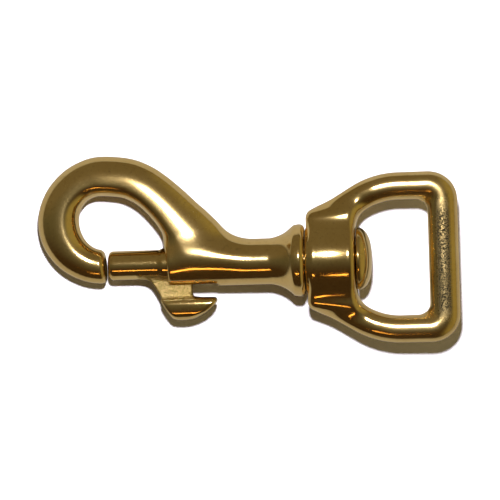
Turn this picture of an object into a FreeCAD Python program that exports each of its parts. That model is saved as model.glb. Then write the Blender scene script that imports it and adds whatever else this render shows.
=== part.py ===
"""Swivel bolt snap: a cast hook whose spring bolt closes its mouth, and an eye that swivels on a rivet.

Millimetres, +Z up. The snap lies flat: the swivel axis is X, with the hook towards -X, and the thumb
piece points to -Y. The origin is the middle of the strap bar, which closes the eye at its +X end.
"""

import FreeCAD, Part
import math
import os

import Sketcher
from FreeCAD import Placement, Rotation, Vector

SIZES = [
    ("bar_width", 6.55, "strap bar, along X"),
    ("eye_wire", 5.96, "diameter of the eye's round section"),
    ("arm_offset", 15.55, "swivel axis to the centreline of an arm"),
    ("corner_bend", 3.8, "eye's corners at the strap bar, on the centreline"),
    ("shoulder_bend", 17.0, "eye's bend from the arm to the hub, on the centreline"),
    ("shoulder_start", 9.5, "bar centre to the start of that bend"),
    ("shoulder_angle", 31, "angle in degrees that the arm turns towards the hub"),
    ("shoulder_run", 8.4, "straight run from that bend into the hub"),
    ("hub_reach", 19.1, "bar centre to the hub's face inside the eye"),
    ("hub_length", 10.5, "hub along X"),
    ("boss_radius", 6.9, "round bearing boss on the hub"),
    ("boss_height", 0.35, "how far the boss stands out"),
    ("end_play", 0.2, "axial play of the swivel on each side of the hub"),
    ("rivet_radius", 2.8, "shank of the swivel rivet"),
    ("rivet_clearance", 0.06, "running clearance of the eye on the shank"),
    ("head_radius", 6.85, "button head of the rivet"),
    ("head_height", 3.35, "thickness of the button head"),
    ("head_round", 2.2, "rounding of the button head"),
    ("tail_radius", 3.2, "upset tail of the rivet, inside the barrel"),
    ("tail_height", 1.0, "upset tail of the rivet, along X"),
    ("flange_radius", 7.9, "flange at the barrel's swivel end"),
    ("flange_thickness", 2.55, "flange along X"),
    ("flare_length", 2.9, "cone between barrel and flange"),
    ("barrel_radius", 5.03, "barrel"),
    ("barrel_length", 29.85, "flange face to the barrel's mouth"),
    ("mouth_radius", 5.4, "barrel at its mouth, where the neck joins it"),
    ("mouth_taper", 14.0, "length over which the barrel thickens to its mouth"),
    ("mouth_round", 1.4, "rounding of the barrel's mouth"),
    ("wall_behind", 3.85, "solid end of the barrel that holds the rivet"),
    ("bore_radius", 3.46, "bore of the barrel"),
    ("slot_width", 3.7, "slot for the web of the thumb piece"),
    ("slot_length", 10.6, "slot, from the barrel's mouth"),
    ("hook_bend", 9.92, "hook's bend, on the centreline"),
    ("hook_x", 74.0, "bar centre to the centre of the hook's bend"),
    ("hook_y", 9.7, "swivel axis to the centre of the hook's bend"),
    ("tip_round", 0.8, "rounding of the hook's tip"),
    ("nose_x", 73.1, "bar centre to the bolt's nose"),
    ("nose_radius", 3.18, "bolt in the open throat"),
    ("nose_round", 1.0, "rounding of the bolt's nose"),
    ("guide_radius", 3.4, "bolt where it runs in the bore"),
    ("guide_start", 61.7, "bar centre to the step between nose and guide"),
    ("guide_end", 46.5, "bar centre to the bolt's shoulder for the spring"),
    ("spigot_radius", 1.55, "spigot inside the spring"),
    ("spigot_length", 3.0, "spigot along X"),
    ("web_thickness", 3.4, "web between bolt and thumb piece"),
    ("web_back", 54.95, "bar centre to the web's back edge"),
    ("thumb_thickness", 5.4, "thumb piece along Z"),
    ("thumb_round", 0.85, "rounding of the thumb piece's edges"),
    ("wire_radius", 0.3, "spring wire"),
    ("coil_radius", 2.6, "spring, mean radius"),
    ("coil_turns", 8, "turns of the spring"),
    ("coil_play", 0.05, "gap at each end of the spring"),
]

# Round sections along the hook's bend: angle about the bend's centre, radius of the section.
BEND = [
    (-88, 3.7),
    (-110, 3.8),
    (-135, 4.15),
    (-160, 4.45),
    (-184, 4.5),
    (-208, 4.3),
    (-232, 4.17),
    (-252, 4.25),
    (-270, 4.36),
]
# Sections of the rod from the bend into the barrel: X, Y, angle of the width, half width, half depth.
ROD = [
    (-68.9, 19.15, -286, 4.42, 4.38),
    (-63.6, 16.65, -303, 4.43, 4.4),
    (-59.3, 13.1, -314, 4.5, 4.45),
    (-54.9, 8.6, -314, 4.85, 4.6),
    (-50.2, 3.9, -308, 5.1, 4.8),
    (-45.2, 0.75, -288, 5.05, 4.95),
    (-41.0, 0.0, -270, 5.02, 5.02),
]
# Sections of the neck, which fans from the rod down to the barrel's mouth: the same five sizes.
NECK = [
    (-61.2, 14.9, 50, 4.2, 4.1),
    (-58.3, 11.6, 32, 4.6, 4.4),
    (-56.2, 8.6, 20, 5.35, 4.6),
    (-54.7, 5.0, 10, 5.75, 4.7),
    (-53.6, 1.0, 4, 5.6, 4.5),
]
# Sections of the eye's hub: share of its length from the face inside the eye, half width, half depth.
HUB = [
    (0.0, 9.3, 6.9),
    (0.086, 10.6, 7.55),
    (0.229, 10.7, 7.5),
    (0.495, 10.8, 7.1),
    (0.79, 11.2, 7.45),
    (0.924, 11.0, 7.55),
    (1.0, 9.6, 6.9),
]

HUB_BACK = "-([hub_reach] + [hub_length])"
FLANGE_FACE = f"{HUB_BACK} - [boss_height] - [end_play]"
FLARE_END = f"{FLANGE_FACE} - [flange_thickness]"
FLARE_START = f"{FLARE_END} - [flare_length]"
MOUTH = f"{FLANGE_FACE} - [barrel_length]"
BORE_END = f"{FLANGE_FACE} - [wall_behind]"
HEAD_SEAT = "-[hub_reach] + [end_play]"

doc = FreeCAD.newDocument("swivel_bolt_snap")
sheet = doc.addObject("Spreadsheet::Sheet", "Sizes")
for row, (alias, size, note) in enumerate(SIZES, start=1):
    sheet.set(f"A{row}", alias)
    sheet.set(f"B{row}", str(size))
    sheet.set(f"C{row}", note)
    sheet.setAlias(f"B{row}", alias)
doc.recompute()


def cells(expression):
    """The expression as another object writes it, with each [alias] read from the sheet."""
    return expression.replace("[", "Sizes.").replace("]", "")


def number(expression):
    """The number that an expression gives now."""
    result = sheet.evalExpression(expression.replace("[", "").replace("]", ""))
    return float(getattr(result, "Value", result))


def plane_of(body, role):
    """One of the body's own origin planes."""
    return next(feature for feature in body.Origin.OriginFeatures if feature.Role == role)


def new_sketch(body, name, role="XY_Plane", offset=None):
    sketch = body.newObject("Sketcher::SketchObject", name)
    sketch.AttachmentSupport = [(plane_of(body, role), "")]
    sketch.MapMode = "FlatFace"
    if offset is not None:
        sketch.AttachmentOffset = offset
    return sketch


def bind(sketch, constraint, expression):
    """Adds a constraint whose size follows the sheet."""
    index = sketch.addConstraint(constraint)
    sketch.setExpression(f"Constraints[{index}]", cells(expression))


def draw_outline(sketch, corners):
    """A closed outline through corners (x, y) or (x, y, radius), each an expression on the sheet."""
    points = [Vector(number(corner[0]), number(corner[1]), 0) for corner in corners]
    radii = [number(corner[2]) if len(corner) > 2 else 0.0 for corner in corners]
    count = len(points)
    trims = []
    for i in range(count):
        before = (points[i - 1] - points[i]).normalize()
        after = (points[(i + 1) % count] - points[i]).normalize()
        half_angle = before.getAngle(after) / 2
        trims.append((before, after, radii[i] / math.tan(half_angle), half_angle))
    lines = []
    for i in range(count):
        start = points[i] + trims[i][1] * trims[i][2]
        following = (i + 1) % count
        end = points[following] + trims[following][0] * trims[following][2]
        lines.append(sketch.addGeometry(Part.LineSegment(start, end)))
    for i, corner in enumerate(corners):
        before, after, trim, half_angle = trims[i]
        if radii[i] == 0:
            sketch.addConstraint(Sketcher.Constraint("Coincident", lines[i - 1], 2, lines[i], 1))
            place(sketch, lines[i], 1, points[i], corner)
            continue
        vertex = sketch.addGeometry(Part.Point(points[i]), True)
        place(sketch, vertex, 1, points[i], corner)
        sketch.addConstraint(Sketcher.Constraint("PointOnObject", vertex, 1, lines[i - 1]))
        sketch.addConstraint(Sketcher.Constraint("PointOnObject", vertex, 1, lines[i]))
        bisector = (before + after).normalize()
        centre = points[i] + bisector * (radii[i] / math.sin(half_angle))
        middle = centre - bisector * radii[i]
        arc = sketch.addGeometry(Part.Arc(points[i] + before * trim, middle, points[i] + after * trim))
        first, last = (1, 2) if before.cross(after).z < 0 else (2, 1)
        sketch.addConstraint(Sketcher.Constraint("Tangent", lines[i - 1], 2, arc, first))
        sketch.addConstraint(Sketcher.Constraint("Tangent", lines[i], 1, arc, last))
        bind(sketch, Sketcher.Constraint("Radius", arc, radii[i]), corner[2])


def place(sketch, geometry, end, point, corner):
    """Fixes one point of the sketch at a corner's expressions; an empty one is on the axis."""
    for kind, axis, expression, size in (
        ("DistanceX", -2, corner[0], point.x),
        ("DistanceY", -1, corner[1], point.y),
    ):
        if expression == "0":
            sketch.addConstraint(Sketcher.Constraint("PointOnObject", geometry, end, axis))
        else:
            bind(sketch, Sketcher.Constraint(kind, -1, 1, geometry, end, size), expression)


def draw_ellipse(sketch, half_width, half_depth):
    """An ellipse on the sketch's origin, its width along the sketch's X; a circle where both are equal."""
    if half_width == half_depth:
        circle = sketch.addGeometry(Part.Circle(Vector(0, 0, 0), Vector(0, 0, 1), number(half_width)))
        sketch.addConstraint(Sketcher.Constraint("Coincident", circle, 3, -1, 1))
        bind(sketch, Sketcher.Constraint("Radius", circle, number(half_width)), half_width)
        return
    wide, deep = number(half_width), number(half_depth)
    ellipse = sketch.addGeometry(Part.Ellipse(Vector(0, 0, 0), wide, deep))
    sketch.addConstraint(Sketcher.Constraint("Coincident", ellipse, 3, -1, 1))
    sketch.exposeInternalGeometry(ellipse)
    sketch.addConstraint(Sketcher.Constraint("Horizontal", ellipse + 1))
    bind(sketch, Sketcher.Constraint("Distance", ellipse + 1, 2 * wide), f"2 * ({half_width})")
    bind(sketch, Sketcher.Constraint("Distance", ellipse + 2, 2 * deep), f"2 * ({half_depth})")


def revolve(body, name, corners):
    """A solid turned about X from an outline whose Y is its radius."""
    sketch = new_sketch(body, name + "Profile")
    draw_outline(sketch, corners)
    turned = body.newObject("PartDesign::Revolution", name)
    turned.Profile = sketch
    turned.ReferenceAxis = (sketch, ["H_Axis"])
    turned.Angle = 360
    doc.recompute()
    return turned


def pad(body, name, corners, thickness):
    """A plate on both sides of the XY plane."""
    sketch = new_sketch(body, name + "Outline")
    draw_outline(sketch, corners)
    plate = body.newObject("PartDesign::Pad", name)
    plate.Profile = sketch
    plate.Midplane = True
    plate.setExpression("Length", cells(thickness))
    doc.recompute()
    return plate


def loft(body, name, sketches):
    lofted = body.newObject("PartDesign::AdditiveLoft", name)
    lofted.Profile = sketches[0]
    lofted.Sections = sketches[1:]
    lofted.Ruled = False
    doc.recompute()
    return lofted


def cylinder(body, name, kind, start, length, radius):
    """Adds ("Additive") or takes away ("Subtractive") a cylinder along +X."""
    tool = body.newObject(f"PartDesign::{kind}Cylinder", name)
    tool.AttachmentSupport = [(plane_of(body, "YZ_Plane"), "")]
    tool.MapMode = "FlatFace"
    tool.setExpression("AttachmentOffset.Base.z", cells(start))
    tool.setExpression("Height", cells(length))
    tool.setExpression("Radius", cells(radius))
    doc.recompute()
    return tool


def fillet(body, name, radius, chosen):
    """Rounds the edges of the body's tip for which chosen(edge) is true."""
    base = body.Tip
    names = [f"Edge{i}" for i, edge in enumerate(base.Shape.Edges, start=1) if chosen(edge)]
    rounded = body.newObject("PartDesign::Fillet", name)
    rounded.Base = (base, names)
    rounded.setExpression("Radius", cells(radius))
    doc.recompute()
    if rounded.Shape.isNull() or not rounded.isValid():
        raise RuntimeError(f"{name}: no round of {number(radius):.2f} mm on {len(names)} edges")
    return rounded


def flat_section(body, name, x, y, turn, half_width, half_depth):
    """An elliptical section of the hook that stands on the XY plane, its width at that angle to X."""
    upright = Rotation(Vector(0, 0, 1), turn).multiply(Rotation(Vector(1, 0, 0), 90))
    sketch = new_sketch(body, name, offset=Placement(Vector(number(x), number(y), 0), upright))
    sketch.setExpression("AttachmentOffset.Base.x", cells(x))
    sketch.setExpression("AttachmentOffset.Base.y", cells(y))
    draw_ellipse(sketch, half_width, half_depth)
    return sketch


def make_hook_body():
    """Hook, neck, barrel and flange: one casting, bored for the bolt and slotted for its thumb piece."""
    body = doc.addObject("PartDesign::Body", "hook_body")
    revolve(
        body,
        "Barrel",
        [
            (MOUTH, "0"),
            (MOUTH, "[mouth_radius]", "[mouth_round]"),
            (f"{MOUTH} + [mouth_taper]", "[barrel_radius]"),
            (FLARE_START, "[barrel_radius]", "3"),
            (FLARE_END, "[flange_radius]", "1.8"),
            (FLANGE_FACE, "[flange_radius]", "1"),
            (FLANGE_FACE, "0"),
        ],
    )
    stations = []
    for i, (angle, radius) in enumerate(BEND):
        x = f"-[hook_x] + [hook_bend] * cos({angle} deg)"
        y = f"[hook_y] + [hook_bend] * sin({angle} deg)"
        stations.append(flat_section(body, f"Bend{i}", x, y, angle, str(radius), str(radius)))
    for i, (x, y, turn, wide, deep) in enumerate(ROD):
        stations.append(flat_section(body, f"Rod{i}", str(x), str(y), turn, str(wide), str(deep)))
    loft(body, "Hook", stations)
    fans = []
    for i, (x, y, turn, wide, deep) in enumerate(NECK):
        fans.append(flat_section(body, f"Neck{i}", str(x), str(y), turn, str(wide), str(deep)))
    loft(body, "Neck", fans)
    bore_length = "[barrel_length] - [wall_behind] + 2"
    cylinder(body, "Bore", "Subtractive", f"{MOUTH} - 2", bore_length, "[bore_radius]")
    cylinder(body, "RivetHole", "Subtractive", f"{BORE_END} - 1", "[wall_behind] + 2", "[rivet_radius]")
    slot = body.newObject("PartDesign::SubtractiveBox", "Slot")
    slot.AttachmentSupport = [(plane_of(body, "XY_Plane"), "")]
    slot.MapMode = "FlatFace"
    slot.setExpression("AttachmentOffset.Base.x", cells(f"{MOUTH} - 2"))
    slot.setExpression("AttachmentOffset.Base.y", cells("-2 * [mouth_radius]"))
    slot.setExpression("AttachmentOffset.Base.z", cells("-[slot_width] / 2"))
    slot.setExpression("Length", cells("[slot_length] + 2"))
    slot.setExpression("Width", cells("2 * [mouth_radius]"))
    slot.setExpression("Height", cells("[slot_width]"))
    doc.recompute()
    fillet(body, "TipRound", "[tip_round]", at_the_tip)


def at_the_tip(edge):
    """Whether the edge is the rim of the hook's end face."""
    centre = edge.BoundBox.Center
    size = edge.BoundBox.DiagonalLength
    return abs(centre.x + number("[hook_x]")) < 1 and abs(centre.y) < 1 and size > 6


def make_swivel_eye():
    """The eye: a round bar bent to a closed bow, with a hub that turns on the rivet."""
    body = doc.addObject("PartDesign::Body", "swivel_eye")
    stations = []
    for i, (share, wide, deep) in enumerate(HUB):
        sketch = new_sketch(body, f"Hub{i}", "YZ_Plane", Placement(Vector(0, 0, 0), Rotation()))
        sketch.setExpression("AttachmentOffset.Base.z", cells(f"-[hub_reach] - {share} * [hub_length]"))
        draw_ellipse(sketch, str(wide), str(deep))
        stations.append(sketch)
    loft(body, "Hub", stations)
    cylinder(body, "Boss", "Additive", f"{HUB_BACK} - [boss_height]", "[boss_height] + 1", "[boss_radius]")

    path = new_sketch(body, "BowPath")
    draw_bow(path)
    wire = new_sketch(body, "BowSection", "XZ_Plane")
    draw_ellipse(wire, "[bar_width] / 2", "[eye_wire] / 2")
    bow = body.newObject("PartDesign::AdditivePipe", "Bow")
    bow.Profile = wire
    bow.Spine = path
    doc.recompute()
    reach = "[hub_length] + [boss_height] + 4"
    hole_radius = "[rivet_radius] + [rivet_clearance]"
    cylinder(body, "PivotHole", "Subtractive", f"{HUB_BACK} - 2", reach, hole_radius)


def draw_bow(sketch):
    """The bow's open centreline, from the hub along one arm, the strap bar and the other arm."""
    angle = math.radians(number("[shoulder_angle]"))
    bend = number("[shoulder_bend]")
    corner = number("[corner_bend]")
    arm = number("[arm_offset]")
    run = number("[shoulder_run]")
    start = number("[shoulder_start]")
    bar = sketch.addGeometry(Part.LineSegment(Vector(0, corner - arm, 0), Vector(0, arm - corner, 0)))
    for side, bar_end in ((1, 2), (-1, 1)):
        near_bar = Vector(-corner, side * arm, 0)
        shoulder = Vector(-start, side * arm, 0)
        slant = corner * (1 - math.sqrt(0.5))
        halfway = shoulder - Vector(bend * math.sin(angle / 2), side * bend * (1 - math.cos(angle / 2)), 0)
        bent = shoulder - Vector(bend * math.sin(angle), side * bend * (1 - math.cos(angle)), 0)
        hub_end = bent - Vector(run * math.cos(angle), side * run * math.sin(angle), 0)
        bar_tip = Vector(0, side * (arm - corner), 0)
        corner_middle = Vector(-slant, side * (arm - slant), 0)
        turned = sketch.addGeometry(Part.Arc(bar_tip, corner_middle, near_bar))
        straight = sketch.addGeometry(Part.LineSegment(near_bar, shoulder))
        bowed = sketch.addGeometry(Part.Arc(shoulder, halfway, bent))
        inner = sketch.addGeometry(Part.LineSegment(bent, hub_end))
        # An arc runs anticlockwise, so which of its ends comes first depends on the side.
        first, last = (1, 2) if side > 0 else (2, 1)
        sketch.addConstraint(Sketcher.Constraint("Tangent", bar, bar_end, turned, first))
        sketch.addConstraint(Sketcher.Constraint("Tangent", turned, last, straight, 1))
        sketch.addConstraint(Sketcher.Constraint("Tangent", straight, 2, bowed, first))
        sketch.addConstraint(Sketcher.Constraint("Tangent", bowed, last, inner, 1))
        bind(sketch, Sketcher.Constraint("Radius", turned, corner), "[corner_bend]")
        bind(sketch, Sketcher.Constraint("Radius", bowed, bend), "[shoulder_bend]")
        bind(sketch, Sketcher.Constraint("Distance", inner, run), "[shoulder_run]")
        bind(sketch, Sketcher.Constraint("DistanceX", straight, 2, -1, 1, start), "[shoulder_start]")
        height = Sketcher.Constraint("DistanceY", -1, 1, straight, 1, side * arm)
        bind(sketch, height, f"{side} * [arm_offset]")
        sketch.addConstraint(Sketcher.Constraint("Horizontal", straight))
        towards_hub = Sketcher.Constraint("Angle", inner, side * (angle - math.pi))
        bind(sketch, towards_hub, f"{side} * ([shoulder_angle] - 180) * 1 deg")
    sketch.addConstraint(Sketcher.Constraint("PointOnObject", bar, 1, -2))
    sketch.addConstraint(Sketcher.Constraint("Vertical", bar))


def make_bolt():
    """The bolt with its web and thumb piece, all one casting."""
    body = doc.addObject("PartDesign::Body", "bolt")
    revolve(
        body,
        "Plunger",
        [
            ("-[nose_x]", "0"),
            ("-[nose_x]", "[nose_radius]", "[nose_round]"),
            ("-[guide_start] - 0.8", "[nose_radius]"),
            ("-[guide_start]", "[guide_radius]"),
            ("-[guide_end]", "[guide_radius]", "0.4"),
            ("-[guide_end]", "[spigot_radius]"),
            ("-[guide_end] + [spigot_length]", "[spigot_radius]", "0.4"),
            ("-[guide_end] + [spigot_length]", "0"),
        ],
    )
    pad(
        body,
        "Web",
        [
            ("-67.2", "-2.5"),
            ("-63.9", "-2.5", "4.2"),
            ("-60.6", "-9.6"),
            ("-[web_back]", "-8.4"),
            ("-[web_back]", "-1.5"),
            ("-67.2", "-1.5"),
        ],
        "[web_thickness]",
    )
    pad(
        body,
        "Thumb",
        [
            ("-62", "-6.8", "1.1"),
            ("-58.05", "-14.1", "1.7"),
            ("-49.1", "-9", "0.9"),
            ("-49.1", "-7.1", "0.9"),
            ("-52.4", "-7.3", "4"),
            ("-55.4", "-6.1", "1.1"),
        ],
        "[thumb_thickness]",
    )
    half = number("[thumb_thickness]") / 2

    def on_the_thumb_face(edge):
        box = edge.BoundBox
        return abs(abs(box.ZMin) - half) < 0.01 and box.ZLength < 0.01

    fillet(body, "ThumbRound", "[thumb_round]", on_the_thumb_face)


def make_rivet():
    """The swivel rivet: button head, shank through the eye's hub, and a tail upset inside the barrel."""
    body = doc.addObject("PartDesign::Body", "swivel_rivet")
    head_end = f"{HEAD_SEAT} + [head_height]"
    revolve(
        body,
        "Rivet",
        [
            (f"{BORE_END} - [tail_height]", "0"),
            (f"{BORE_END} - [tail_height]", "[tail_radius]", "0.4"),
            (BORE_END, "[tail_radius]"),
            (BORE_END, "[rivet_radius]"),
            (HEAD_SEAT, "[rivet_radius]"),
            (HEAD_SEAT, "[head_radius]", "0.4"),
            (head_end, "[head_radius]", "[head_round]"),
            (head_end, "0"),
        ],
    )


def make_spring():
    """The coil spring between the bolt's shoulder and the rivet's tail."""
    body = doc.addObject("PartDesign::Body", "bolt_spring")
    start = "-[guide_end] + [wire_radius] + [coil_play]"
    end = f"{BORE_END} - [tail_height] - [wire_radius] - [coil_play]"
    sketch = new_sketch(body, "WireSection")
    centre = Vector(number(start), number("[coil_radius]"), 0)
    radius = number("[wire_radius]")
    wire = sketch.addGeometry(Part.Circle(centre, Vector(0, 0, 1), radius))
    bind(sketch, Sketcher.Constraint("DistanceX", -1, 1, wire, 3, centre.x), start)
    bind(sketch, Sketcher.Constraint("DistanceY", -1, 1, wire, 3, centre.y), "[coil_radius]")
    bind(sketch, Sketcher.Constraint("Radius", wire, radius), "[wire_radius]")
    coil = body.newObject("PartDesign::AdditiveHelix", "Coil")
    coil.Profile = sketch
    coil.ReferenceAxis = (sketch, ["H_Axis"])
    coil.Mode = "height-turns-angle"
    coil.setExpression("Height", cells(f"({end}) - ({start})"))
    coil.setExpression("Turns", cells("[coil_turns]"))
    doc.recompute()


def write_parts():
    """Checks every object, then writes each node to its own file."""
    for item in doc.Objects:
        if {"Invalid", "Error"} & set(item.State):
            raise RuntimeError(f"{item.Name}: {item.getStatusString()}")
    os.makedirs("parts", exist_ok=True)
    for name in ("hook_body", "swivel_eye", "bolt", "swivel_rivet", "bolt_spring"):
        shape = doc.getObject(name).Shape
        if shape.isNull() or not shape.isValid() or len(shape.Solids) != 1:
            raise RuntimeError(f"{name} isn't one valid solid")
        shape.exportStep(f"parts/{name}.step")
        box = shape.BoundBox
        size = f"{box.XLength:6.2f} x {box.YLength:6.2f} x {box.ZLength:6.2f}"
        print(f"{name:14s} {shape.Volume:9.1f} mm3  {size}")


make_hook_body()
make_swivel_eye()
make_bolt()
make_rivet()
make_spring()
doc.recompute()
write_parts()
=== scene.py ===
"""Brass swivel bolt snap: its castings as smooth blended surfaces, lying on a pale floor."""

import math

import bpy
import numpy as np
from mathutils import Matrix, Vector


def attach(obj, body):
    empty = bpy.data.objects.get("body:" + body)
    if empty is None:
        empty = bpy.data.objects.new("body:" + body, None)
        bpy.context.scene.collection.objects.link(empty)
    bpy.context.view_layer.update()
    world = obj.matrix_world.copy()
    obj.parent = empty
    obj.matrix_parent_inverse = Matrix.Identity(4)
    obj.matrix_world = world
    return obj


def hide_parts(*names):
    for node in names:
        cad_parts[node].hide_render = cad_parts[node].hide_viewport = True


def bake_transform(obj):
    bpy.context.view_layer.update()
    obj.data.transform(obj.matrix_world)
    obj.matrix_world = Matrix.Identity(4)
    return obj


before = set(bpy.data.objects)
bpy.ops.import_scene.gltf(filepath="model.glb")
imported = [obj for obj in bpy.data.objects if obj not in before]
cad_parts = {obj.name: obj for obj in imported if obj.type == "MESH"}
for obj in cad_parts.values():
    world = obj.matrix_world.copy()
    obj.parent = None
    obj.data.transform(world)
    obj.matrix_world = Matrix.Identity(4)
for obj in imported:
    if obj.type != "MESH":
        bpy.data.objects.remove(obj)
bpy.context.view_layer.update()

MM = 0.001


# ---- distance fields, in millimetres and negative inside ----

FAR = 1e9  # further than anything
OUTSIDE = 9.0  # a level well outside a surface; its negative is well inside
DEEPEST = 3.0  # how deep an oval's field is told apart inside it


def smooth_min(a, b, reach):
    """The union of two fields, filled over a width of reach where they meet."""
    mix = np.clip(0.5 + 0.5 * (b - a) / reach, 0.0, 1.0)
    return b + (a - b) * mix - reach * mix * (1.0 - mix)


def smooth_max(a, b, reach):
    """The intersection of two fields, with its edge rounded."""
    return -smooth_min(-a, -b, reach)


def polygon_distance(u, v, corners):
    """Distance in a plane to a closed polygon."""
    nearest = np.full(u.shape, FAR)
    inside = np.zeros(u.shape, bool)
    for (ax, ay), (bx, by) in zip(corners, corners[1:] + corners[:1]):
        ex, ey = bx - ax, by - ay
        along = np.clip(((u - ax) * ex + (v - ay) * ey) / (ex * ex + ey * ey), 0.0, 1.0)
        nearest = np.minimum(nearest, (u - ax - along * ex) ** 2 + (v - ay - along * ey) ** 2)
        crosses = (ay > v) != (by > v)
        if ey != 0.0:
            inside ^= crosses & (u < ax + (v - ay) * ex / ey)
    return np.where(inside, -1.0, 1.0) * np.sqrt(nearest)


def turned(p, corners, rounding):
    """A solid turned about X: corners are (x, radius) of its outline less the rounding."""
    radius = np.hypot(p[:, 1], p[:, 2])
    mirrored = corners + [(x, -r) for x, r in reversed(corners) if r != 0.0]
    return polygon_distance(p[:, 0], radius, mirrored) - rounding


def plate(p, corners, half_thickness, rounding):
    """A plate in the XY plane with rounded edges: corners are less the rounding."""
    flat = polygon_distance(p[:, 0], p[:, 1], corners)
    rise = np.abs(p[:, 2]) - half_thickness + rounding
    outside = np.hypot(np.maximum(flat, 0.0), np.maximum(rise, 0.0))
    return outside + np.minimum(np.maximum(flat, rise), 0.0) - rounding


def near_surface(level, slope_a, slope_b):
    """Turns a level that is 0 on the surface into a distance near it."""
    return np.maximum(level / np.sqrt(slope_a**2 + slope_b**2 + 1e-4), -DEEPEST)


def oval(across, rise, left, right, deep, power=2.0):
    """Distance to an oval section whose crest is at 0 and whose left side is the positive one."""
    wide = np.where(across > 0.0, left, right)
    reach = np.abs(across) / wide
    level = reach**power + (rise / deep) ** 2 - 1.0
    return near_surface(level, power * reach ** (power - 1.0) / wide, 2.0 * rise / deep**2)


def smooth_path(stations, steps):
    """A Catmull-Rom run through stations, each (x, y, left width, right width, half depth)."""
    s = np.array(stations, float)
    s = np.vstack([2 * s[0] - s[1], s, 2 * s[-1] - s[-2]])
    t = np.linspace(0.0, 1.0, steps, endpoint=False)[:, None]
    run = []
    for a, b, c, d in zip(s, s[1:], s[2:], s[3:]):
        bend = 2 * a - 5 * b + 4 * c - d
        twist = 3 * b - a - 3 * c + d
        run.append(0.5 * (2 * b + (c - a) * t + bend * t**2 + twist * t**3))
    return np.vstack(run + [s[-2:-1]])


def swept(p, path, power):
    """Distance to an oval section whose crest follows a path in the XY plane."""
    best = np.full(len(p), FAR)
    across = np.full(len(p), FAR)
    sizes = np.ones((len(p), 3))
    for a, b in zip(path, path[1:]):
        edge = b[:2] - a[:2]
        length = math.hypot(*edge)
        dx, dy = p[:, 0] - a[0], p[:, 1] - a[1]
        along = np.clip((dx * edge[0] + dy * edge[1]) / length**2, 0.0, 1.0)
        gap = np.hypot(dx - along * edge[0], dy - along * edge[1])
        nearer = gap < best
        best = np.where(nearer, gap, best)
        across = np.where(nearer, np.where(edge[0] * dy > edge[1] * dx, gap, -gap), across)
        sizes = np.where(nearer[:, None], a[2:5] + along[:, None] * (b[2:5] - a[2:5]), sizes)
    return oval(across, p[:, 2], sizes[:, 0], sizes[:, 1], sizes[:, 2], power)


# ---- from a field to a mesh ----

CORNERS = np.array([(i, j, k) for i in (0, 1) for j in (0, 1) for k in (0, 1)])
CELL_EDGES = [(a, b) for a in range(8) for b in range(a + 1, 8) if abs(CORNERS[a] - CORNERS[b]).sum() == 1]
STRIDE = 4  # cells of the fine grid in one of the coarse grid
NEAR = 2.2  # coarse cells from the surface that are worked out finely
RELAX_ROUNDS = 3
RELAX_SHARE = 0.7
MOST_MOVE = 0.1  # of one step towards the surface


def sample(field, low, shape, pitch):
    """The field on a grid, worked out finely only near its surface."""
    axes = [low[i] + pitch * np.arange(shape[i]) for i in range(3)]
    coarse = [axis[::STRIDE] for axis in axes]
    mesh = np.meshgrid(*coarse, indexing="ij")
    rough = field(np.stack([m.ravel() for m in mesh], 1)).reshape(mesh[0].shape)
    values = np.kron(rough, np.ones((STRIDE, STRIDE, STRIDE)))[: shape[0], : shape[1], : shape[2]]
    near = np.abs(values) < pitch * STRIDE * NEAR
    index = np.argwhere(near)
    points = np.array(low) + index * pitch
    values[near] = field(points)
    return values


def gradient(field, points, step=0.02):
    slope = np.empty_like(points)
    for axis in range(3):
        shift = np.zeros(3)
        shift[axis] = step
        slope[:, axis] = (field(points + shift) - field(points - shift)) / (2 * step)
    return slope


def settle(field, points):
    """One Newton step towards the surface."""
    slope = gradient(field, points)
    size = (slope**2).sum(1) + 1e-9
    step = np.clip(field(points) / np.sqrt(size), -MOST_MOVE, MOST_MOVE)
    return points - slope * (step / np.sqrt(size))[:, None]


def crossing_points(values, low, pitch, cells):
    """One point for each cell that the surface passes through, in the middle of its crossings."""
    corner_values = np.stack([values[tuple((cells + c).T)] for c in CORNERS], 1)
    total = np.zeros((len(cells), 3))
    crossings = np.zeros(len(cells))
    for a, b in CELL_EDGES:
        va, vb = corner_values[:, a], corner_values[:, b]
        cut = (va < 0) != (vb < 0)
        t = np.where(cut, va / np.where(cut, va - vb, 1.0), 0.0)[:, None]
        total += np.where(cut[:, None], CORNERS[a] + t * (CORNERS[b] - CORNERS[a]), 0.0)
        crossings += cut
    return np.array(low) + pitch * (cells + total / crossings[:, None])


def crossing_quads(inside, number):
    """One quad for each grid edge that the surface cuts, between the four cells around the edge."""
    quads = []
    for axis in range(3):
        first = [slice(None)] * 3
        second = [slice(None)] * 3
        first[axis] = slice(0, -1)
        second[axis] = slice(1, None)
        a, b = inside[tuple(first)], inside[tuple(second)]
        others = [i for i in range(3) if i != axis]
        for flip, where in ((False, a & ~b), (True, ~a & b)):
            at = np.argwhere(where)
            at = at[(at[:, others[0]] > 0) & (at[:, others[1]] > 0)]
            ring = []
            for du, dv in ((-1, -1), (0, -1), (0, 0), (-1, 0)):
                cell = at.copy()
                cell[:, others[0]] += du
                cell[:, others[1]] += dv
                ring.append(number[tuple(cell.T)])
            quad = np.stack(ring, 1)
            if flip != (axis == 1):
                quad = quad[:, ::-1]
            quads.append(quad)
    return np.vstack(quads)


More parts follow.
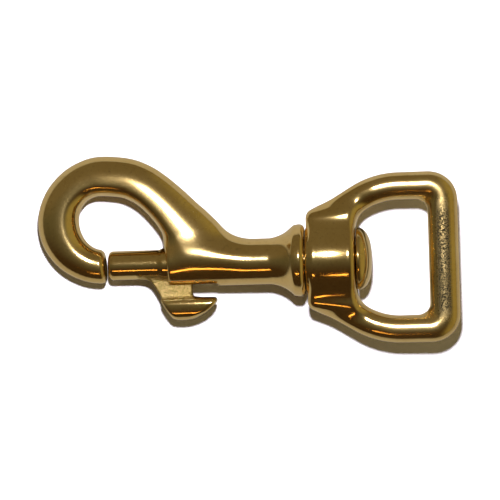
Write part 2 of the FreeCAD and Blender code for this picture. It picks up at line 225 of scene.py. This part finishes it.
def relaxed(field, points, quads):
    """The points slid along the surface until the quads are even, and put exactly on it."""
    edges = np.vstack([quads[:, [i, (i + 1) % 4]] for i in range(4)])
    degree = np.bincount(edges[:, 0], minlength=len(points))[:, None]
    for _ in range(RELAX_ROUNDS):
        sums = np.zeros_like(points)
        np.add.at(sums, edges[:, 0], points[edges[:, 1]])
        normal = gradient(field, points)
        normal /= np.linalg.norm(normal, axis=1)[:, None] + 1e-12
        move = sums / degree - points
        points = points + RELAX_SHARE * (move - normal * (move * normal).sum(1)[:, None])
        points = settle(field, points)
    return settle(field, settle(field, points))


def new_piece(name, verts, faces):
    """A smooth-shaded object in the scene."""
    mesh = bpy.data.meshes.new(name)
    mesh.from_pydata(verts, [], faces)
    mesh.polygons.foreach_set("use_smooth", [True] * len(mesh.polygons))
    mesh.update()
    piece = bpy.data.objects.new(name, mesh)
    bpy.context.scene.collection.objects.link(piece)
    return piece


def build(name, field, low, high, pitch):
    """A quad mesh of the field's zero surface, between two corners in millimetres."""
    shape = [int(STRIDE * math.ceil((b - a) / pitch / STRIDE)) + 1 for a, b in zip(low, high)]
    values = sample(field, low, shape, pitch)
    inside = values < 0.0
    count = np.zeros([n - 1 for n in shape], int)
    for i, j, k in CORNERS:
        count += inside[i : shape[0] - 1 + i, j : shape[1] - 1 + j, k : shape[2] - 1 + k]
    cells = np.argwhere((count > 0) & (count < len(CORNERS)))
    number = np.full(count.shape, -1)
    number[tuple(cells.T)] = np.arange(len(cells))
    quads = crossing_quads(inside, number)
    points = relaxed(field, crossing_points(values, low, pitch, cells), quads)
    print(name, len(points), "points")
    return new_piece(name, (points * MM).tolist(), quads.tolist())


# ---- the hook, neck and barrel ----

BEND_CENTRE = (-74.0, 9.7)
BEND_RADIUS = 9.92
# Along the bend: angle, half width, half depth, crest's distance inwards from the middle.
BEND = [(-80, 3.7, 3.7, 0.0), (-88, 3.7, 3.7, 0.0), (-110, 3.8, 3.85, 0.1), (-135, 4.15, 4.1, 0.2),
        (-160, 4.45, 4.3, 0.4), (-184, 4.5, 4.35, 0.6), (-208, 4.3, 4.3, 0.9), (-232, 4.17, 4.25, 1.2),
        (-252, 4.25, 4.25, 1.5), (-270, 4.36, 4.3, 1.7)]
# The neck's crest, from the bend down to the barrel: X, Y, width to the outside, to the inside, half depth.
NECK = [(-69.5, 17.35, 6.2, 2.6, 4.3), (-66.8, 16.1, 6.45, 2.4, 4.35), (-64.2, 14.2, 6.6, 2.3, 4.4),
        (-61.1, 10.9, 7.1, 2.35, 4.55), (-58.7, 7.4, 8.1, 2.5, 4.75), (-56.6, 4.3, 8.8, 3.3, 4.9),
        (-54.6, 1.6, 9.0, 4.4, 4.9), (-52.8, -0.8, 9.2, 5.0, 4.75)]
ROD_POWER = 2.3
TIP_X, TIP_LEAN, TIP_ROUNDING = -73.85, math.radians(2.0), 1.3
TIP_ZONE = (-66.0, 6.0)  # the tip's cut is left of this X and below this Y
ROOT_X, ROOT_Y, ROOT_REACH = -64.0, 0.2, 4.0  # right of this X the neck fades out at this Y
# Turned shapes: (X, radius) of the outline less the rounding, then the rounding.
BARREL = ([(-59.35, 0.0), (-59.35, 4.43), (-33.0, 4.43), (-33.0, 0.0)], 0.6)
FLANGE = ([(-35.2, 0.0), (-35.2, 3.9), (-32.05, 6.7), (-31.25, 6.8), (-31.25, 0.0)], 1.1)
NECK_REACH, FLANGE_REACH = 3.2, 2.0
BORE_RADIUS, BORE_END = 3.46, -34.0
RIVET_HOLE_RADIUS, RIVET_HOLE_START = 2.8, -40.0
HOLLOW_START, HOLLOW_EDGE = -62.0, 0.35  # the hook's tip, left of the start, isn't bored
SLOT_HALF_WIDTH, SLOT_START, SLOT_END, SLOT_EDGE = 1.85, -64.0, -49.4, 0.5


def hook_path():
    stations = []
    for angle, wide, deep, inwards in BEND:
        radius = BEND_RADIUS - inwards
        x = BEND_CENTRE[0] + radius * math.cos(math.radians(angle))
        y = BEND_CENTRE[1] + radius * math.sin(math.radians(angle))
        stations.append((x, y, wide + inwards, wide - inwards, deep))
    return smooth_path(stations + NECK, 5)


HOOK_PATH = hook_path()


def hook_field(p):
    x, y = p[:, 0], p[:, 1]
    rod = swept(p, HOOK_PATH, ROD_POWER)
    before_tip = (x - TIP_X) * math.cos(TIP_LEAN) + y * math.sin(TIP_LEAN)
    in_zone = (x < TIP_ZONE[0]) & (y < TIP_ZONE[1])
    rod = smooth_max(rod, np.where(in_zone, before_tip, -OUTSIDE), TIP_ROUNDING)
    rod = smooth_max(rod, np.where(x > ROOT_X, ROOT_Y - y, -OUTSIDE), ROOT_REACH)
    casting = smooth_min(rod, turned(p, *BARREL), NECK_REACH)
    casting = smooth_min(casting, turned(p, *FLANGE), FLANGE_REACH)
    radius = np.hypot(y, p[:, 2])
    bore = np.maximum(radius - BORE_RADIUS, x - BORE_END)
    rivet_hole = np.maximum(radius - RIVET_HOLE_RADIUS, RIVET_HOLE_START - x)
    bored = smooth_max(casting, -np.minimum(bore, rivet_hole), HOLLOW_EDGE)
    casting = np.where(x < HOLLOW_START, casting, bored)
    slot = np.maximum(np.abs(p[:, 2]) - SLOT_HALF_WIDTH, np.maximum(y, x - SLOT_END))
    return smooth_max(casting, -np.where(x < SLOT_START, OUTSIDE, slot), SLOT_EDGE)


# ---- the bolt ----

NOSE = ([(-72.1, 0.0), (-72.1, 2.18), (-56.0, 2.18), (-56.0, 0.0)], 1.0)
GUIDE = ([(-61.2, 0.0), (-61.2, 3.0), (-46.9, 3.0), (-46.9, 0.0)], 0.4)
SPIGOT = ([(-48.0, 0.0), (-48.0, 1.25), (-43.8, 1.25), (-43.8, 0.0)], 0.3)
# Plates: (X, Y) of the outline less the rounding, then the half thickness and the rounding.
WEB = ([(-66.2, -2.2), (-64.7, -2.75), (-63.5, -3.7), (-62.6, -5.0), (-61.2, -7.7), (-60.2, -9.6),
        (-55.2, -8.6), (-55.2, -1.5)], 1.7, 0.25)
THUMB = ([(-60.9, -7.9), (-58.8, -11.5), (-57.9, -12.0), (-56.9, -12.05), (-55.2, -11.5), (-52.4, -9.95),
          (-50.9, -8.7), (-50.4, -8.05), (-53.0, -8.0), (-55.4, -7.3)], 2.9, 0.8)
THUMB_CREST = (-56.0, -9.0)
THUMB_INNER, THUMB_OUTER, THUMB_DEEP = 2.0, 3.4, 2.95
THUMB_TAPER = 0.07  # how the thumb piece thins on both sides of its middle
GUIDE_REACH, WEB_REACH, THUMB_REACH, THUMB_EDGE = 0.7, 0.9, 0.8, 1.0


def bolt_field(p):
    shaft = smooth_min(turned(p, *NOSE), turned(p, *GUIDE), GUIDE_REACH)
    shaft = np.minimum(shaft, turned(p, *SPIGOT))
    rise = p[:, 2] * np.hypot(1.0, (p[:, 0] - THUMB_CREST[0]) * THUMB_TAPER)
    dome = oval(p[:, 1] - THUMB_CREST[1], rise, THUMB_INNER, THUMB_OUTER, THUMB_DEEP)
    thumb = smooth_max(plate(p, *THUMB), dome, THUMB_EDGE)
    return smooth_min(smooth_min(shaft, plate(p, *WEB), WEB_REACH), thumb, THUMB_REACH)


# ---- the swivel eye ----

# The centreline of half the eye: an arm from the hub that bends into line with X, then a corner to the bar.
ARM_Y, ARM_RUN, ARM_ANGLE, ARM_BEND_X, ARM_BEND_RADIUS = 15.55, 7.8, math.radians(31), -9.5, 17.0
BAR_CORNER_RADIUS = 3.3
WIRE, BAR_EXTRA, BAR_START, BAR_SPREAD = 2.98, 0.295, -4.5, 4.0  # half widths, and where the bar widens
ROOT_TAPER, TAPER_START = 0.1, -15.0  # how the arms thin towards the hub
EYE_POWER = 2.25
WEB_CORNER, WEB_CORNER_RADIUS, WEB_CORNER_REACH = (-3.35, 12.6), 0.5, 2.2  # fills the eye's inner corners
HUB_X, HUB_HALF_LENGTH, HUB_EDGE, HUB_REACH = -24.35, 5.25, 1.8, 2.8
CROWN_HALF_WIDTH, CROWN_HEIGHT, CROWN_FLARE, CROWN_REACH = 8.3, 7.15, 0.35, 2.6
# The low foot that carries the arms runs past both ends of the hub, which are cut afterwards.
FOOT = ([(-45.0, -7.97), (-45.0, 7.97), (-5.0, 10.16), (-5.0, -10.16)], 3.3, 1.6)
BOSS, BOSS_REACH = ([(-29.65, 0.0), (-29.65, 6.6), (-28.0, 6.6), (-28.0, 0.0)], 0.3), 0.4
EYE_HOLE_RADIUS, EYE_HOLE_END, EYE_HOLE_EDGE = 2.86, -12.0, 0.2


def bow_path():
    """The eye's centreline from one hub joint round to the other."""
    half = []
    for f in np.linspace(1.0, 0.0, 13):
        angle = ARM_ANGLE * f
        half.append((ARM_BEND_X - ARM_BEND_RADIUS * math.sin(angle),
                     ARM_Y - ARM_BEND_RADIUS * (1 - math.cos(angle))))
    hub_end = (half[0][0] - ARM_RUN * math.cos(ARM_ANGLE), half[0][1] - ARM_RUN * math.sin(ARM_ANGLE))
    for f in np.linspace(math.pi / 2, 0.0, 11):
        half.append((BAR_CORNER_RADIUS * (math.cos(f) - 1), ARM_Y + BAR_CORNER_RADIUS * (math.sin(f) - 1)))
    upper = [hub_end] + half
    path = []
    for x, y in upper + [(x, -y) for x, y in reversed(upper)]:
        on_bar = min(1.0, max(0.0, (x - BAR_START) / BAR_SPREAD))
        wide = WIRE + BAR_EXTRA * on_bar * on_bar
        deep = WIRE - ROOT_TAPER * max(0.0, TAPER_START - x)
        path.append((x, y, wide, wide, deep))
    return np.array(path)


BOW_PATH = bow_path()


def eye_field(p):
    x, y, z = p[:, 0], p[:, 1], p[:, 2]
    from_corner = np.hypot(x - WEB_CORNER[0], np.abs(y) - WEB_CORNER[1])
    inner_corner = np.hypot(from_corner, z) - WEB_CORNER_RADIUS
    bow = smooth_min(swept(p, BOW_PATH, EYE_POWER), inner_corner, WEB_CORNER_REACH)
    along = np.clip((x - HUB_X) / HUB_HALF_LENGTH, -1.4, 1.4)
    crown = oval(y, z, CROWN_HALF_WIDTH, CROWN_HALF_WIDTH, CROWN_HEIGHT + CROWN_FLARE * along**2)
    hub = smooth_min(crown, plate(p, *FOOT), CROWN_REACH)
    hub = smooth_max(hub, np.abs(x - HUB_X) - HUB_HALF_LENGTH, HUB_EDGE)
    eye = smooth_min(smooth_min(bow, hub, HUB_REACH), turned(p, *BOSS), BOSS_REACH)
    hole = np.where(x > EYE_HOLE_END, OUTSIDE, np.hypot(y, z) - EYE_HOLE_RADIUS)
    return smooth_max(eye, -hole, EYE_HOLE_EDGE)


# ---- the rivet ----

HEAD_X, HEAD_RISE, HEAD_RADIUS, HEAD_EDGE = -18.9, 3.34, 6.84, 0.5
HEAD_POWERS = (2.3, 2.5)  # along the rivet and out from it
SHANK = ([(-34.2, 0.0), (-34.2, 2.8), (-18.2, 2.8), (-18.2, 0.0)], 0.0)
TAIL = ([(-34.7, 0.0), (-34.7, 2.9), (-34.3, 2.9), (-34.3, 0.0)], 0.3)


def rivet_field(p):
    rise = np.maximum((p[:, 0] - HEAD_X) / HEAD_RISE, 0.0)
    out = np.hypot(p[:, 1], p[:, 2]) / HEAD_RADIUS
    m, n = HEAD_POWERS
    slope_along = m * rise ** (m - 1) / HEAD_RISE
    slope_out = n * out ** (n - 1) / HEAD_RADIUS
    dome = near_surface(rise**m + out**n - 1.0, slope_along, slope_out)
    head = smooth_max(dome, HEAD_X - p[:, 0], HEAD_EDGE)
    return np.minimum(np.minimum(head, turned(p, *SHANK)), turned(p, *TAIL))


hook = build("hook_casting", hook_field, (-89.4, -9.0, -8.6), (-29.6, 25.0, 8.6), 0.3)
bolt = build("bolt_casting", bolt_field, (-73.8, -13.8, -4.2), (-42.6, 4.2, 4.2), 0.22)
eye = build("eye_casting", eye_field, (-30.8, -19.4, -8.4), (4.2, 19.4, 8.4), 0.28)
rivet = build("rivet_turned", rivet_field, (-35.8, -7.6, -7.6), (-14.9, 7.6, 7.6), 0.26)


# ---- the spring, between the bolt's shoulder and the rivet's tail ----

SPRING_START, SPRING_END = -46.45, -35.05
WIRE_RADIUS, COIL_RADIUS, TURNS = 0.3, 2.6, 9
STEPS_PER_TURN, STEPS_AROUND = 40, 12
CLOSED_SHARE = 0.02  # of the length, that goes to the closed turn at each end


def make_spring():
    count = STEPS_PER_TURN * TURNS
    span = SPRING_END - SPRING_START - 2 * WIRE_RADIUS
    points = []
    for i in range(count + 1):
        f = i / count
        ease = min(1.0, max(0.0, (f - 1 / TURNS) / (1 - 2 / TURNS)))
        x = SPRING_START + WIRE_RADIUS + span * (CLOSED_SHARE * f + (1 - CLOSED_SHARE) * ease)
        angle = 2 * math.pi * TURNS * f
        points.append(Vector((x, COIL_RADIUS * math.cos(angle), COIL_RADIUS * math.sin(angle))))
    verts, faces = [], []
    for i, point in enumerate(points):
        ahead = (points[min(i + 1, count)] - points[max(i - 1, 0)]).normalized()
        side = ahead.cross(Vector((0, point.y, point.z))).normalized()
        outward = side.cross(ahead)
        for j in range(STEPS_AROUND):
            a = 2 * math.pi * j / STEPS_AROUND
            verts.append((point + WIRE_RADIUS * (math.cos(a) * outward + math.sin(a) * side)) * MM)
            if i:
                b = (i - 1) * STEPS_AROUND
                k = (j + 1) % STEPS_AROUND
                faces.append((b + j, b + k, b + STEPS_AROUND + k, b + STEPS_AROUND + j))
    faces.append(tuple(range(STEPS_AROUND)))
    faces.append(tuple(reversed(range(count * STEPS_AROUND, (count + 1) * STEPS_AROUND))))
    return new_piece("spring_coil", verts, faces)


spring = make_spring()


# ---- materials ----

class Nodes:
    """A small helper that adds nodes to one material."""

    def __init__(self, name):
        self.material = bpy.data.materials.new(name)
        self.material.use_nodes = True
        self.tree = self.material.node_tree
        self.shader = self.tree.nodes["Principled BSDF"]
        self.place = self.tree.nodes.new("ShaderNodeTexCoord").outputs["Object"]

    def link(self, a, b):
        self.tree.links.new(a, b)

    def noise(self, scale, detail=2.0, rough=0.5, distortion=0.0):
        node = self.tree.nodes.new("ShaderNodeTexNoise")
        node.inputs["Scale"].default_value = scale
        node.inputs["Detail"].default_value = detail
        node.inputs["Roughness"].default_value = rough
        node.inputs["Distortion"].default_value = distortion
        self.link(self.place, node.inputs["Vector"])
        return node.outputs["Fac"]

    def remap(self, value, low, high, to_low, to_high):
        node = self.tree.nodes.new("ShaderNodeMapRange")
        sockets = ("From Min", "From Max", "To Min", "To Max")
        for name, number in zip(sockets, (low, high, to_low, to_high)):
            node.inputs[name].default_value = number
        self.link(value, node.inputs["Value"])
        return node.outputs["Result"]

    def math(self, operation, a, b):
        node = self.tree.nodes.new("ShaderNodeMath")
        node.operation = operation
        for socket, value in zip(node.inputs, (a, b)):
            if isinstance(value, (int, float)):
                socket.default_value = value
            else:
                self.link(value, socket)
        return node.outputs["Value"]

    def axes(self, vector):
        node = self.tree.nodes.new("ShaderNodeSeparateXYZ")
        self.link(vector, node.inputs["Vector"])
        return [node.outputs[axis] for axis in "XYZ"]

    def box_mask(self, place, low, high, softness):
        """1 inside a box and 0 outside, fading over the softness of each axis."""
        mask = 1.0
        for value, start, end, soft in zip(place, low, high, softness):
            mask = self.math("MULTIPLY", mask, self.remap(value, start - soft, start, 0.0, 1.0))
            mask = self.math("MULTIPLY", mask, self.remap(value, end, end + soft, 1.0, 0.0))
        return mask

    def mix(self, factor, a, b):
        node = self.tree.nodes.new("ShaderNodeMix")
        node.data_type = "RGBA"
        self.link(factor, node.inputs["Factor"])
        for socket, value in ((node.inputs["A"], a), (node.inputs["B"], b)):
            if isinstance(value, tuple):
                socket.default_value = (*value, 1.0)
            else:
                self.link(value, socket)
        return node.outputs["Result"]

    def bump(self, height, strength, distance, normal=None):
        node = self.tree.nodes.new("ShaderNodeBump")
        node.inputs["Strength"].default_value = strength
        node.inputs["Distance"].default_value = distance
        self.link(height, node.inputs["Height"])
        if normal is not None:
            self.link(normal, node.inputs["Normal"])
        return node.outputs["Normal"]


BRASS = (0.90, 0.67, 0.31)
BRASS_DEEP = (0.80, 0.56, 0.22)
# random tarnish specks, and the painted shade in the hollows
TARNISH_AND_SHADE = (0.30, 0.19, 0.08)
AS_CAST = (0.42, 0.31, 0.09)
# the end bar crest's colour: a painted dark grey reflection over rubbed, rough metal
WEAR_AND_REFLECTION_GREY = (0.035, 0.037, 0.029)
STEEL_BRIGHT = (0.62, 0.61, 0.58)
STEEL_DULL = (0.45, 0.44, 0.42)

# Boxes in metres, low corner and high corner, and how far each kind fades on X, Y and Z.
NECK_FACE = ((-0.064, 0.004, 0.003), (-0.054, 0.016, 0.009))
WEB_FACE = ((-0.0665, -0.0078, -0.0022), (-0.0545, -0.0024, 0.0022))
BAR_CREST = ((-0.0012, -0.0110, 0.0022), (0.0012, 0.0095, 0.0040))
SATIN_FADE = (0.007, 0.007, 0.002)
ROUGH_FADE = (0.0005, 0.0005, 0.0005)
WEAR_AND_REFLECTION_FADE = (0.0006, 0.005, 0.0006)


def brass(name, satin, grain=1.0, scuffs=0.22, satin_zones=(), rough_zones=(), wear_and_reflection_zones=()):
    """Polished brass with random tarnish specks, painted shade in its hollows and a fine cast grain.

    satin is (axis, from, to, least, most): the roughness between two places in metres. The zones are
    boxes: satin_zones are duller, rough_zones left as cast, and wear_and_reflection_zones rough from
    wear, with a painted dark grey reflection that dims their highlight.
    """
    m = Nodes(name)
    m.shader.inputs["Metallic"].default_value = 1.0
    place = m.axes(m.place)

    blotch = m.remap(m.noise(120.0, 4.0, 0.6), 0.38, 0.68, 0.0, 0.8)
    tone = m.mix(blotch, BRASS, BRASS_DEEP)
    tone = m.mix(m.remap(m.noise(1300.0, 3.0, 0.65), 0.55, 0.75, 0.0, 0.3), tone, TARNISH_AND_SHADE)
    # painted shade: the brass is darkened in its hollows, which are found by the mesh's pointiness
    hollow = m.tree.nodes.new("ShaderNodeNewGeometry").outputs["Pointiness"]
    tone = m.mix(m.remap(hollow, 0.42, 0.475, 0.7, 0.0), tone, TARNISH_AND_SHADE)

    axis, start, end, least, most = satin
    polish = m.remap(place[axis], start, end, least, most)
    scuff = m.remap(m.noise(5200.0, 3.0, 0.7), 0.54, 0.72, 0.0, scuffs)
    wear = m.math("MULTIPLY", scuff, m.remap(m.noise(240.0, 3.0, 0.6), 0.3, 0.7, 0.3, 1.0))
    rough = m.math("ADD", polish, wear)
    ripple = m.bump(m.noise(230.0, 2.0, 0.5), 0.15, 0.00004 * grain)
    grains = m.bump(m.noise(2300.0, 4.0, 0.65), 0.3, 0.00001 * grain, ripple)

    for low, high in satin_zones:
        inside = m.box_mask(place, low, high, SATIN_FADE)
        rough = m.math("ADD", rough, m.math("MULTIPLY", inside, 0.045))
    for low, high in rough_zones:
        inside = m.box_mask(place, low, high, ROUGH_FADE)
        cast = m.noise(900.0, 5.0, 0.75, 1.5)
        pitted = m.math("MULTIPLY", inside, m.remap(cast, 0.3, 0.7, 0.26, 0.5))
        rough = m.math("MAXIMUM", rough, pitted)
        skin = m.math("MULTIPLY", inside, m.remap(cast, 0.35, 0.6, 1.0, 0.2))
        tone = m.mix(skin, tone, AS_CAST)
        grains = m.bump(m.math("MULTIPLY", inside, cast), 0.9, 0.0002, grains)
    for low, high in wear_and_reflection_zones:
        inside = m.box_mask(place, low, high, WEAR_AND_REFLECTION_FADE)
        speck = m.remap(m.noise(4200.0, 3.0, 0.6), 0.36, 0.52, 0.0, 1.0)
        wear_and_dim_reflection = m.math("MULTIPLY", inside, speck)
        rough = m.math("MAXIMUM", rough, m.math("MULTIPLY", wear_and_dim_reflection, 0.75))
        # painted reflection: the colour is darkened to near-black grey, which stands in for a dark reflection
        # and dims the crest's highlight; the roughness and bump are its wear
        tone = m.mix(m.math("MULTIPLY", wear_and_dim_reflection, 0.95), tone, WEAR_AND_REFLECTION_GREY)
        grains = m.bump(wear_and_dim_reflection, 0.15, 0.00002, grains)

    m.link(tone, m.shader.inputs["Base Color"])
    m.link(rough, m.shader.inputs["Roughness"])
    m.link(grains, m.shader.inputs["Normal"])
    return m.material


def steel(name):
    m = Nodes(name)
    m.shader.inputs["Metallic"].default_value = 1.0
    tone = m.mix(m.remap(m.noise(900.0), 0.4, 0.7, 0.0, 1.0), STEEL_BRIGHT, STEEL_DULL)
    m.link(tone, m.shader.inputs["Base Color"])
    m.link(m.remap(m.noise(2500.0), 0.3, 0.7, 0.22, 0.4), m.shader.inputs["Roughness"])
    m.link(m.bump(m.noise(6000.0), 0.3, 0.00001), m.shader.inputs["Normal"])
    return m.material


def finish(piece, material, nodes, body):
    piece.data.materials.append(material)
    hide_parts(*nodes)
    if body is not None:
        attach(piece, body)


X_AXIS, Y_AXIS = 0, 1
finish(hook, brass("brass_hook", (X_AXIS, -0.086, -0.062, 0.15, 0.12), scuffs=0.16, satin_zones=[NECK_FACE]),
       ["hook_body"], "hook")
finish(eye, brass("brass_eye", (X_AXIS, -0.018, -0.012, 0.12, 0.20), 1.3, 0.08, wear_and_reflection_zones=[BAR_CREST]),
       ["swivel_eye"], "eye")
finish(bolt, brass("brass_bolt", (Y_AXIS, -0.014, -0.005, 0.12, 0.11), 1.2, rough_zones=[WEB_FACE]),
       ["bolt"], "bolt")
finish(rivet, brass("brass_rivet", (X_AXIS, -0.030, -0.016, 0.15, 0.11), 0.7),
       ["swivel_rivet"], "hook")
finish(spring, steel("spring_steel"), ["bolt_spring"], None)
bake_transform(spring)


# ---- how it lies, and the floor ----

BEND_END, FLANGE_START = -0.065, -0.04  # the hook's bend is left of the first, the flange right of the second


def resting_tilt():
    """The slope of the floor that the hook's bend and the barrel's flange both touch, and its level."""
    cloud = np.array([v.co[:] for v in hook.data.vertices])
    hook_end, flange_end = cloud[cloud[:, 0] < BEND_END], cloud[cloud[:, 0] > FLANGE_START]
    low, high = 0.0, math.radians(12)
    for _ in range(40):
        tilt = (low + high) / 2
        normal = np.array([math.sin(tilt), 0.0, math.cos(tilt)])
        if (hook_end @ normal).min() < (flange_end @ normal).min():
            high = tilt
        else:
            low = tilt
    return tilt, (flange_end @ normal).min()


TILT, FLOOR_LEVEL = resting_tilt()
print("tilt", math.degrees(TILT), "level", FLOOR_LEVEL)

# The picture's axes: up out of the floor, to the right along it, and away across it.
ROLL = math.radians(1.7)
UP = Vector((math.sin(TILT), 0.0, math.cos(TILT)))
RIGHT = Vector((math.cos(ROLL), -math.sin(ROLL), 0.0))
RIGHT = (RIGHT - UP * RIGHT.dot(UP)).normalized()
AWAY = UP.cross(RIGHT)
CENTRE = RIGHT * (-42.074 * MM) + AWAY * (1.308 * MM)

FLOOR_HALF_WIDTH, FLOOR_GAP = 3.0, 0.02 * MM
FLOOR_IN_METAL, FLOOR_SEEN = (0.25, 0.236, 0.20), (1.0, 0.97, 1.08)


def make_floor():
    """A sheet of paper, as bright as its light makes it and darker in the metal's reflections."""
    level = UP * (FLOOR_LEVEL - FLOOR_GAP)
    corners = []
    for a, b in ((-1, -1), (1, -1), (1, 1), (-1, 1)):
        corners.append((RIGHT * a + AWAY * b) * FLOOR_HALF_WIDTH + level)
    mesh = bpy.data.meshes.new("floor")
    mesh.from_pydata(corners, [], [(0, 1, 2, 3)])
    floor = bpy.data.objects.new("floor", mesh)
    bpy.context.scene.collection.objects.link(floor)
    m = Nodes("floor_paper")
    seen = m.tree.nodes.new("ShaderNodeLightPath").outputs["Is Camera Ray"]
    m.link(m.mix(seen, FLOOR_IN_METAL, FLOOR_SEEN), m.shader.inputs["Base Color"])
    m.shader.inputs["Roughness"].default_value = 0.9
    m.shader.inputs["Specular IOR Level"].default_value = 0.0
    mesh.materials.append(m.material)


# ---- the room, camera and lights ----

# The room's tones from its near side to its far side.
ROOM = [(0.0, (0.045, 0.028, 0.012)), (0.22, (0.05, 0.03, 0.012)), (0.33, (0.07, 0.055, 0.03)),
        (0.42, (0.09, 0.079, 0.045)), (0.52, (0.105, 0.096, 0.055)), (0.66, (0.16, 0.13, 0.07)),
        (1.0, (0.155, 0.125, 0.066))]
RIGHT_GLOW, GLOW_START, GLOW_END = (0.30, 0.25, 0.09), 0.25, 0.75


def make_world():
    """A dim warm room: olive on the far side, dark on the near side, yellow low on the right."""
    world = bpy.data.worlds.new("room")
    bpy.context.scene.world = world
    world.use_nodes = True
    tree = world.node_tree
    place = tree.nodes.new("ShaderNodeTexCoord").outputs["Generated"]

    def towards(direction):
        dot = tree.nodes.new("ShaderNodeVectorMath")
        dot.operation = "DOT_PRODUCT"
        tree.links.new(place, dot.inputs[0])
        dot.inputs[1].default_value = direction
        return dot.outputs["Value"]

    shift = tree.nodes.new("ShaderNodeMapRange")
    shift.inputs["From Min"].default_value = -1.0
    tree.links.new(towards(AWAY), shift.inputs["Value"])
    ramp = tree.nodes.new("ShaderNodeValToRGB")
    tree.links.new(shift.outputs["Result"], ramp.inputs["Fac"])
    stops = ramp.color_ramp.elements
    for stop, (position, colour) in ((stops[0], ROOM[0]), (stops[1], ROOM[-1])):
        stop.position = position
        stop.color = (*colour, 1.0)
    for position, colour in ROOM[1:-1]:
        stops.new(position).color = (*colour, 1.0)

    rise = tree.nodes.new("ShaderNodeMapRange")
    rise.inputs["From Min"].default_value = GLOW_START
    rise.inputs["From Max"].default_value = GLOW_END
    rise.interpolation_type = "SMOOTHSTEP"
    tree.links.new(towards(RIGHT), rise.inputs["Value"])
    warm = tree.nodes.new("ShaderNodeMix")
    warm.data_type = "RGBA"
    tree.links.new(rise.outputs["Result"], warm.inputs["Factor"])
    tree.links.new(ramp.outputs["Color"], warm.inputs["A"])
    warm.inputs["B"].default_value = (*RIGHT_GLOW, 1.0)
    tree.links.new(warm.outputs["Result"], tree.nodes["Background"].inputs["Color"])


def frame_at(position, right, up, back):
    """A placement whose X, Y and Z are right, up and back."""
    turn = Matrix((right, up, back)).transposed().to_4x4()
    return Matrix.Translation(position) @ turn


LIGHT_DISTANCE = 0.36


def make_light(name, tilt, turn, size, power, colour, on_metal):
    """An oval area light, for the metal or for the floor: tilt from overhead, turn from the far side."""
    tilt, turn = math.radians(tilt), math.radians(turn)
    back = UP * math.cos(tilt) + (AWAY * math.cos(turn) + RIGHT * math.sin(turn)) * math.sin(tilt)
    right = AWAY.cross(back).normalized()
    data = bpy.data.lights.new(name, "AREA")
    data.shape = "ELLIPSE"
    data.size, data.size_y = size
    data.energy = power
    data.color = colour
    light = bpy.data.objects.new(name, data)
    light.matrix_world = frame_at(CENTRE + back * LIGHT_DISTANCE, right, back.cross(right), back)
    light.visible_glossy = on_metal
    light.visible_diffuse = not on_metal
    bpy.context.scene.collection.objects.link(light)


CAMERA_HEIGHT = 0.6
OUTLINE_DROP = 0.0027  # the object's widest outline lies this far below the shared origin
PICTURE_WIDTH, SENSOR_WIDTH = 109.0 * MM, 36.0


def make_camera():
    data = bpy.data.cameras.new("camera")
    data.sensor_width = SENSOR_WIDTH
    data.lens = SENSOR_WIDTH * (CAMERA_HEIGHT + OUTLINE_DROP) / PICTURE_WIDTH
    camera = bpy.data.objects.new("camera", data)
    camera.matrix_world = frame_at(CENTRE + UP * CAMERA_HEIGHT, RIGHT, AWAY, UP)
    bpy.context.scene.collection.objects.link(camera)
    bpy.context.scene.camera = camera


make_floor()
make_world()
make_camera()
make_light("flash", 14, -8, (0.03, 0.03), 0.66, (1.0, 0.98, 0.95), on_metal=True)
make_light("paper_flash", 14, 0, (0.03, 0.03), 2.3, (1.0, 1.0, 1.0), on_metal=False)
make_light("lamp", 45, 193, (0.12, 0.012), 0.03, (1.0, 0.5, 0.11), on_metal=True)
bpy.context.scene.view_settings.view_transform = "Standard"
